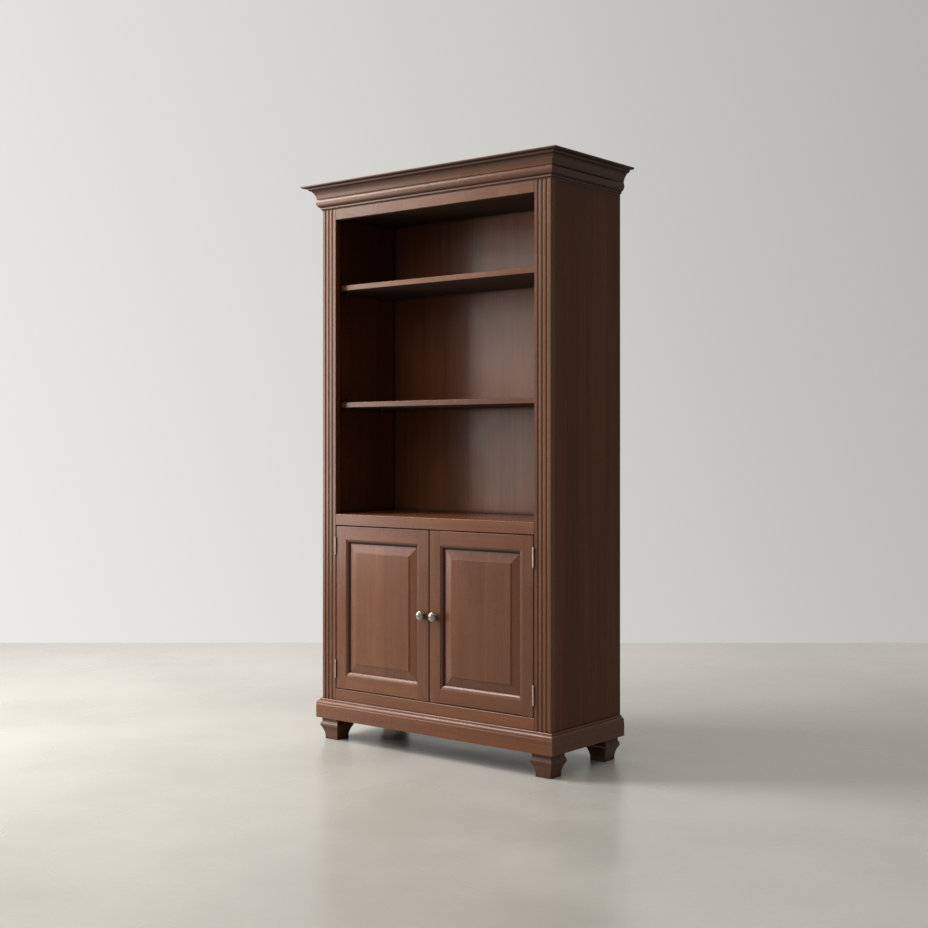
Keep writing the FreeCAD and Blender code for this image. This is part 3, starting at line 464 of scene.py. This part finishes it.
def metal(name, colour, dark, rough, streak_axis):
    """Brushed or cast metal with fine lines, smudges and darker tarnish in the corners."""
    material, n = new_material(name)
    place = piece_coordinates(n)
    lines = grain_noise(n, place, streak_axis, BRUSH_SCALES, 2.0, 0.6)
    smudge = n.noise(place, SMUDGE_SCALE, 3.0, 0.6)
    tarnish = n.span(open_mask(n, TARNISH_REACH), 0.35, 0.90, TARNISH_SHARE, 0.0)
    tint = n.mix(n.span(smudge, 0.35, 0.70, 0.0, SMUDGE_SHARE), colour, dark)
    tint = n.mix(tarnish, tint, dark)
    gloss = n.plus(n.span(smudge, 0.3, 0.7, rough - 0.05, rough + 0.07), n.times(lines, BRUSH_ROUGH))
    bump = n.bump(0.06, 0.0001, lines, n.rounded(METAL_ROUNDING))
    finish_material(n, {"Base Color": tint, "Metallic": 1.0, "Roughness": gloss, "Normal": bump})
    return material


def catch_plastic():
    """Dark brown moulded plastic of the catches."""
    material, n = new_material("catch_plastic")
    place = piece_coordinates(n)
    grit = n.noise(place, 1400.0, 2.0, 0.5)
    cloud = n.noise(place, 60.0, 2.0, 0.5)
    colour = n.mix(n.span(cloud, 0.3, 0.7), PLASTIC_DARK, PLASTIC_PALE)
    rough = n.span(grit, 0.3, 0.7, *PLASTIC_ROUGH)
    finish_material(n, {"Base Color": colour, "Roughness": rough, "Normal": n.bump(0.12, 0.0001, grit)})
    return material


def make_materials():
    woods = {grain: stained_wood("stained_wood_" + grain.lower(), grain) for grain in "XYZ"}
    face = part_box("left_door_hinge_stile")[0][1]
    return {
        **woods,
        "side": stained_wood("side_wood", "Z", SIDE_SHEEN, SIDE_GLOSS),
        "door_X": stained_wood("door_wood_x", "X", face=face),
        "door_Z": stained_wood("door_wood_z", "Z", face=face),
        "back": stained_wood("back_veneer", "Z", BACK_SHEEN, BACK_GLOSS, bare_rear=True),
        "plain": plain_wood("plain_wood", "X"),
        "nickel": metal("satin_nickel", *NICKEL, "Z"),
        "hinge": metal("hinge_metal", *HINGE_METAL, "Z"),
        "zinc": metal("zinc_steel", *ZINC, "X"),
        "plastic": catch_plastic(),
    }


def material_key(name):
    """Which material a node takes."""
    if name == "back_panel":
        return "back"
    if name.endswith("side_panel"):
        return "side"
    if name == "magnetic_catches":
        return "plastic"
    if name in PLAIN_WOOD:
        return "plain"
    if name.endswith("_knob"):
        return "nickel"
    if name.endswith(("_leaf", "hinge_pins", "hinge_screws")):
        return "hinge"
    if name.endswith(("_screws", "_bolts", "_knob_screw", "_pins", "_strike")):
        return "zinc"
    if name.endswith(("door_top_rail", "door_bottom_rail")):
        return "door_X"
    if name.endswith("_stile"):
        return "door_Z"
    if name in ACROSS:
        return "X"
    return "Y" if name in FRONT_TO_BACK else "Z"


def dress_nodes():
    for name, node in nodes.items():
        node.data.materials.clear()
        node.data.materials.append(materials[material_key(name)])
        # Board tone, partly painted light and shade.
        tone = BOARD_TONES_AND_PAINTED_LIGHT.get(name, 1.0)
        node.color = (tone, tone, tone, 1)


def loop_of(mesh, outline, along, seat, way):
    """Vertices of a flat outline, set along the way from the seat."""
    turn = Vector(UPWARD).rotation_difference(Vector(way))
    return [mesh.verts.new(Vector(seat) + turn @ Vector((x, y, along))) for x, y in outline]


def circle(radius, sides):
    angles = [2 * math.pi * number / sides for number in range(sides)]
    return [(radius * math.cos(angle), radius * math.sin(angle)) for angle in angles]


def join_loops(mesh, near, far):
    for number, vert in enumerate(near):
        mesh.faces.new((near[number - 1], vert, far[number], far[number - 1]))


def quarter(start, end, outward_first, steps):
    """Points past start on the quarter ellipse to end, which sets off outwards or along the axis."""
    points = []
    for step in range(1, steps + 1):
        angle = math.pi / 2 * step / steps
        quick, slow = math.sin(angle), 1 - math.cos(angle)
        out, along = (quick, slow) if outward_first else (slow, quick)
        points.append((start[0] + (end[0] - start[0]) * out, start[1] + (end[1] - start[1]) * along))
    return points


def add_turned(mesh, profile, seat, way, sides):
    """Rings of a profile of (radius, distance from the seat), closed at its start; gives the last ring."""
    rings = [loop_of(mesh, circle(radius, sides), along, seat, way) for radius, along in profile]
    mesh.faces.new(rings[0])
    for near, far in zip(rings, rings[1:]):
        join_loops(mesh, near, far)
    return rings[-1]


def finish_mesh(name, mesh, material, node, body):
    """Makes a piece of the mesh, which stands for a node and rides on a body."""
    bmesh.ops.recalc_face_normals(mesh, faces=mesh.faces)
    data = bpy.data.meshes.new(name)
    mesh.to_mesh(data)
    mesh.free()
    data.polygons.foreach_set("use_smooth", [True] * len(data.polygons))
    data.set_sharp_from_angle(angle=SHARP_ANGLE)
    data.materials.append(materials[material])
    piece = bpy.data.objects.new(name, data)
    bpy.context.scene.collection.objects.link(piece)
    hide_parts(node)
    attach(piece, body)


def make_knob(side):
    """Turned nickel knob in the place of the faceted one: flange, waisted neck and a domed head."""
    node = side + "_door_knob"
    low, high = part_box(node)
    reach = high[1] - low[1]
    head = (high[0] - low[0]) / 2
    edge = (KNOB_FLANGE * head, KNOB_FLANGE_EDGE * reach)
    lip = (KNOB_LIP * head, KNOB_LIP_AT * reach)
    waist = (KNOB_NECK * head, KNOB_WAIST_AT * reach)
    throat = (KNOB_NECK * head, KNOB_THROAT_AT * reach)
    rim = (head, KNOB_RIM_AT * reach)
    tip = (0, reach)
    profile = [
        (edge[0], 0), edge, *quarter(edge, lip, False, 3), *quarter(lip, waist, False, 8)[1:], throat,
        *quarter(throat, rim, True, 14), *quarter(rim, tip, False, 16),
    ]
    seat = ((low[0] + high[0]) / 2, high[1], (low[2] + high[2]) / 2)
    mesh = bmesh.new()
    ring = add_turned(mesh, profile[:-1], seat, FRONTWARD, LATHE_SIDES)
    pole = loop_of(mesh, [(0, 0)], reach, seat, FRONTWARD)[0]
    for number, vert in enumerate(ring):
        mesh.faces.new((ring[number - 1], vert, pole))
    finish_mesh(side + "_turned_knob", mesh, "nickel", node, side + "_door")


def solid_boxes(node):
    """Lowest and highest corners of each separate solid of a node."""
    mesh = bmesh.new()
    mesh.from_mesh(nodes[node].data)
    bmesh.ops.remove_doubles(mesh, verts=mesh.verts, dist=WELD)
    boxes = []
    for start in mesh.verts:
        if start.tag:
            continue
        start.tag = True
        found, spots = [start], []
        while found:
            vert = found.pop()
            spots.append(vert.co.copy())
            for other in [edge.other_vert(vert) for edge in vert.link_edges]:
                if not other.tag:
                    other.tag = True
                    found.append(other)
        corners = [[pick(spot[axis] for spot in spots) for axis in range(3)] for pick in (min, max)]
        boxes.append([Vector(corner) for corner in corners])
    mesh.free()
    return boxes


def head_way(node, middle):
    """Which way a screw's head faces: to the rear, or across the gap between the frame and a door."""
    if not node.endswith("hinge_screws"):
        return Vector(REARWARD)
    outward = math.copysign(1, middle.x)
    return Vector(SIDEWAYS) * (-outward if node.startswith("frame") else outward)


def cross_outline(arm, half):
    """Corners of a cross with four equal arms."""
    corners = []
    for turn in range(4):
        cosine, sine = round(math.cos(math.pi / 2 * turn)), round(math.sin(math.pi / 2 * turn))
        for x, y in ((arm, -half), (arm, half), (half, half)):
            corners.append((x * cosine - y * sine, x * sine + y * cosine))
    return corners


def add_screw(mesh, low, high, way, height, top_share):
    """Screw with a tapered tip, a rounded head and a cross recess, inside a box."""
    head = min((high - low)[axis] for axis in range(3) if not way[axis]) / 2
    length = abs((high - low).dot(way))
    shank = SCREW_SHANK * head
    seat = (low + high) / 2 + way * (length / 2)
    shoulder = (head, -height / 2)
    profile = [
        (SCREW_TIP * head, -length), (shank, -length + 2 * shank), (shank, -height), (head, -height),
        shoulder, *quarter(shoulder, (top_share * head, 0), False, 3),
    ]
    ring = add_turned(mesh, profile, seat, way, SCREW_SIDES)
    cross = cross_outline(RECESS_ARM * head, RECESS_HALF_WIDTH * head)
    sunk = [(RECESS_TAPER * x, RECESS_TAPER * y) for x, y in cross]
    rim = loop_of(mesh, cross, 0, seat, way)
    floor = loop_of(mesh, sunk, -RECESS_DEPTH * height, seat, way)
    join_loops(mesh, rim, floor)
    mesh.faces.new(floor)
    edges = []
    for loop in (ring, rim):
        edges += [mesh.edges.get((loop[number - 1], vert)) for number, vert in enumerate(loop)]
    bmesh.ops.triangle_fill(mesh, use_beauty=True, edges=edges, normal=way)


def make_screws(node, body):
    """Round screws with cross recesses, in the place of a node's six-sided ones."""
    flat = node.endswith("hinge_screws")
    height, top_share = (FLAT_HEIGHT, FLAT_TOP) if flat else (PAN_HEIGHT, PAN_TOP)
    mesh = bmesh.new()
    for low, high in solid_boxes(node):
        add_screw(mesh, low, high, head_way(node, (low + high) / 2), height, top_share)
    finish_mesh(node.replace("screw", "cross_screw"), mesh, material_key(node), node, body)


def shown_rays(n):
    """1 for rays that show a surface to the camera, directly or in metal, gloss or glass."""
    path = n.add("ShaderNodeLightPath").outputs
    seen = n.math("MAXIMUM", path["Is Camera Ray"], path["Is Glossy Ray"])
    return n.math("MAXIMUM", seen, path["Is Transmission Ray"])


def floor_material():
    """Pale, faintly polished floor, which throws less light back than it shows."""
    material, n = new_material("pale_floor")
    place = n.add("ShaderNodeTexCoord").outputs["Object"]
    cloud = n.noise(place, FLOOR_CLOUD_SCALE, 3.0, 0.55)
    speck = n.noise(place, FLOOR_SPECK_SCALE, 3.0, 0.6)
    colour = n.mix(n.span(cloud, 0.3, 0.7), FLOOR_DARK, FLOOR_LIGHT)
    colour = n.mix(n.span(speck, 0.45, 0.75, 0.0, 0.25), colour, FLOOR_SPECK)
    # Painted light: the floor is made paler towards the wall.
    colour = n.mix(n.span(n.dot(place, REARWARD), *FLOOR_PAINTED_LIGHT_REACH), colour, FLOOR_FAR_PAINTED_LIGHT, "MULTIPLY")
    dimmed = n.mix(1.0, colour, (FLOOR_BOUNCE, FLOOR_BOUNCE, FLOOR_BOUNCE, 1), "MULTIPLY")
    finish_material(n, {
        "Base Color": n.mix(shown_rays(n), dimmed, colour),
        "Roughness": n.span(cloud, 0.3, 0.7, *FLOOR_ROUGH),
        "Normal": n.bump(0.05, 0.0005, speck),
    })
    return material


def make_floor():
    mesh = bpy.data.meshes.new("floor")
    left, right = -FLOOR_HALF_WIDTH, FLOOR_HALF_WIDTH
    near, far = -FLOOR_AHEAD, FLOOR_BEHIND
    corners = [(left, near, 0), (right, near, 0), (right, far, 0), (left, far, 0)]
    mesh.from_pydata(corners, [], [(0, 1, 2, 3)])
    mesh.materials.append(floor_material())
    floor = bpy.data.objects.new("floor", mesh)
    floor.rotation_euler.z = CAMERA_TURN
    bpy.context.scene.collection.objects.link(floor)


def make_world():
    """Soft room light from the window side and from above, and a pale backdrop that dims away from it."""
    world = bpy.data.worlds.new("studio")
    bpy.context.scene.world = world
    world.use_nodes = True
    n = Tree(world.node_tree)
    way = n.add("ShaderNodeTexCoord").outputs["Generated"]
    lean = n.dot(way, Vector(LIGHT_SIDE).normalized())
    level = n.span(lean, *LIGHT_SIDE_SPAN, ROOM_DIM, ROOM_BRIGHT)
    level = n.plus(level, n.span(n.dot(way, UPWARD), *OVERHEAD_SPAN, 0.0, ROOM_OVERHEAD))
    light = {"Color": (*LIGHT_COLOUR, 1), "Strength": level}
    room = n.add("ShaderNodeBackground", light).outputs["Background"]
    side = n.dot(way, Vector(BACKDROP_SIDE).normalized())
    pale = n.add("ShaderNodeMapRange", {
        "Value": side, "From Min": BACKDROP_SPAN[0], "From Max": BACKDROP_SPAN[1],
        "To Min": BACKDROP_DIM, "To Max": BACKDROP_BRIGHT,
    }).outputs["Result"]
    pale = n.times(pale, n.span(n.dot(way, ROOM_END), *ROOM_END_SPAN, 1.0, BACKDROP_ROOM_END))
    backdrop = n.add("ShaderNodeBackground", {"Color": BACKDROP, "Strength": pale}).outputs["Background"]
    shown = n.add("ShaderNodeMixShader", {0: shown_rays(n), 1: room, 2: backdrop}).outputs["Shader"]
    n.add("ShaderNodeOutputWorld", {"Surface": shown})


def make_lamp(name, place, aim, size, radiance):
    light = bpy.data.lights.new(name, "AREA")
    light.shape = "RECTANGLE"
    light.size, light.size_y = size
    light.energy = radiance * math.pi * size[0] * size[1]
    light.color = LIGHT_COLOUR
    lamp = bpy.data.objects.new(name, light)
    lamp.location = place
    lamp.rotation_euler = (Vector(aim) - Vector(place)).to_track_quat("-Z", "Y").to_euler()
    bpy.context.scene.collection.objects.link(lamp)


def make_camera():
    data = bpy.data.cameras.new("camera")
    data.sensor_width = SENSOR_WIDTH
    data.lens = FOCAL_PIXELS * SENSOR_WIDTH / IMAGE_SIDE
    data.shift_y = (HORIZON_ROW - IMAGE_SIDE / 2) / IMAGE_SIDE
    camera = bpy.data.objects.new("camera", data)
    camera.location = CAMERA_PLACE
    camera.rotation_euler = (math.pi / 2, 0, CAMERA_TURN)
    bpy.context.scene.collection.objects.link(camera)
    bpy.context.scene.camera = camera


materials = make_materials()
dress_nodes()
make_screws("back_panel_screws", "case")
make_screws("frame_hinge_screws", "case")
for door_side in ("left", "right"):
    make_knob(door_side)
    make_screws(door_side + "_door_knob_screw", door_side + "_door")
    make_screws(door_side + "_door_hinge_screws", door_side + "_door")
make_floor()
make_world()
make_lamp("window", *WINDOW)
make_lamp("skylight", *SKYLIGHT)
make_lamp("front", *FRONT)
make_camera()
bpy.context.scene.view_settings.view_transform = "Standard"
